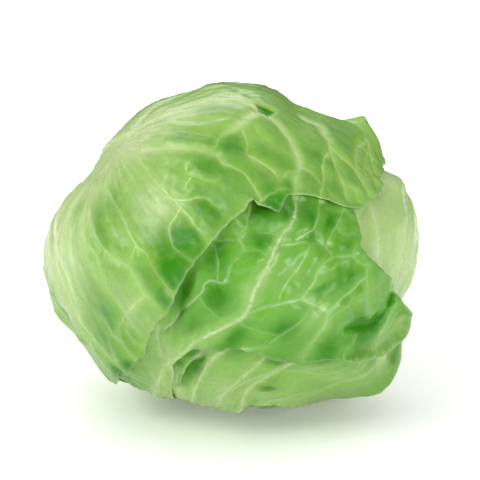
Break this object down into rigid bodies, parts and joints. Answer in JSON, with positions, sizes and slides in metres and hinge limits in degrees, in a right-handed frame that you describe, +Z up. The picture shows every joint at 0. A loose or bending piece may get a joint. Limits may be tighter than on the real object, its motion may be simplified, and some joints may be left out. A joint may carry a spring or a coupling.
{
  "type": "cabbage head",
  "caption": "Whole head of cabbage: a cut stem, a dense heart and broad, ribbed outer leaves wrapped one over the other, resting on the cut stem.",
  "frame": {"origin": "middle of the stem's cut face, on the surface that the head rests on", "axes": "+Z up, +X to the head's right as seen from the front, the front faces -Y"},
  "size_m": [0.2021, 0.1911, 0.1766],
  "materials": {
    "stem": "cut cabbage stem, pale, fibrous and moist",
    "heart": "pale inner cabbage leaf, smooth",
    "pale_leaf": "pale green cabbage leaf, smooth, soft gloss",
    "green_leaf": "green cabbage leaf with pale veins, soft waxy gloss",
    "deep_green_leaf": "deeper green cabbage leaf with pale veins, soft waxy gloss",
    "top_leaf": "bright green cabbage leaf with pale branching veins, soft waxy gloss"
  },
  "bodies": {
    "root": {"stem": "stem", "heart": "heart", "leaf_right_inner": "pale_leaf", "leaf_left_low": "green_leaf", "leaf_back": "green_leaf", "leaf_bottom_small": "deep_green_leaf", "leaf_front_low": "green_leaf", "leaf_front": "deep_green_leaf", "leaf_top": "top_leaf", "leaf_back_low": "green_leaf"}
  },
  "joints": []
}
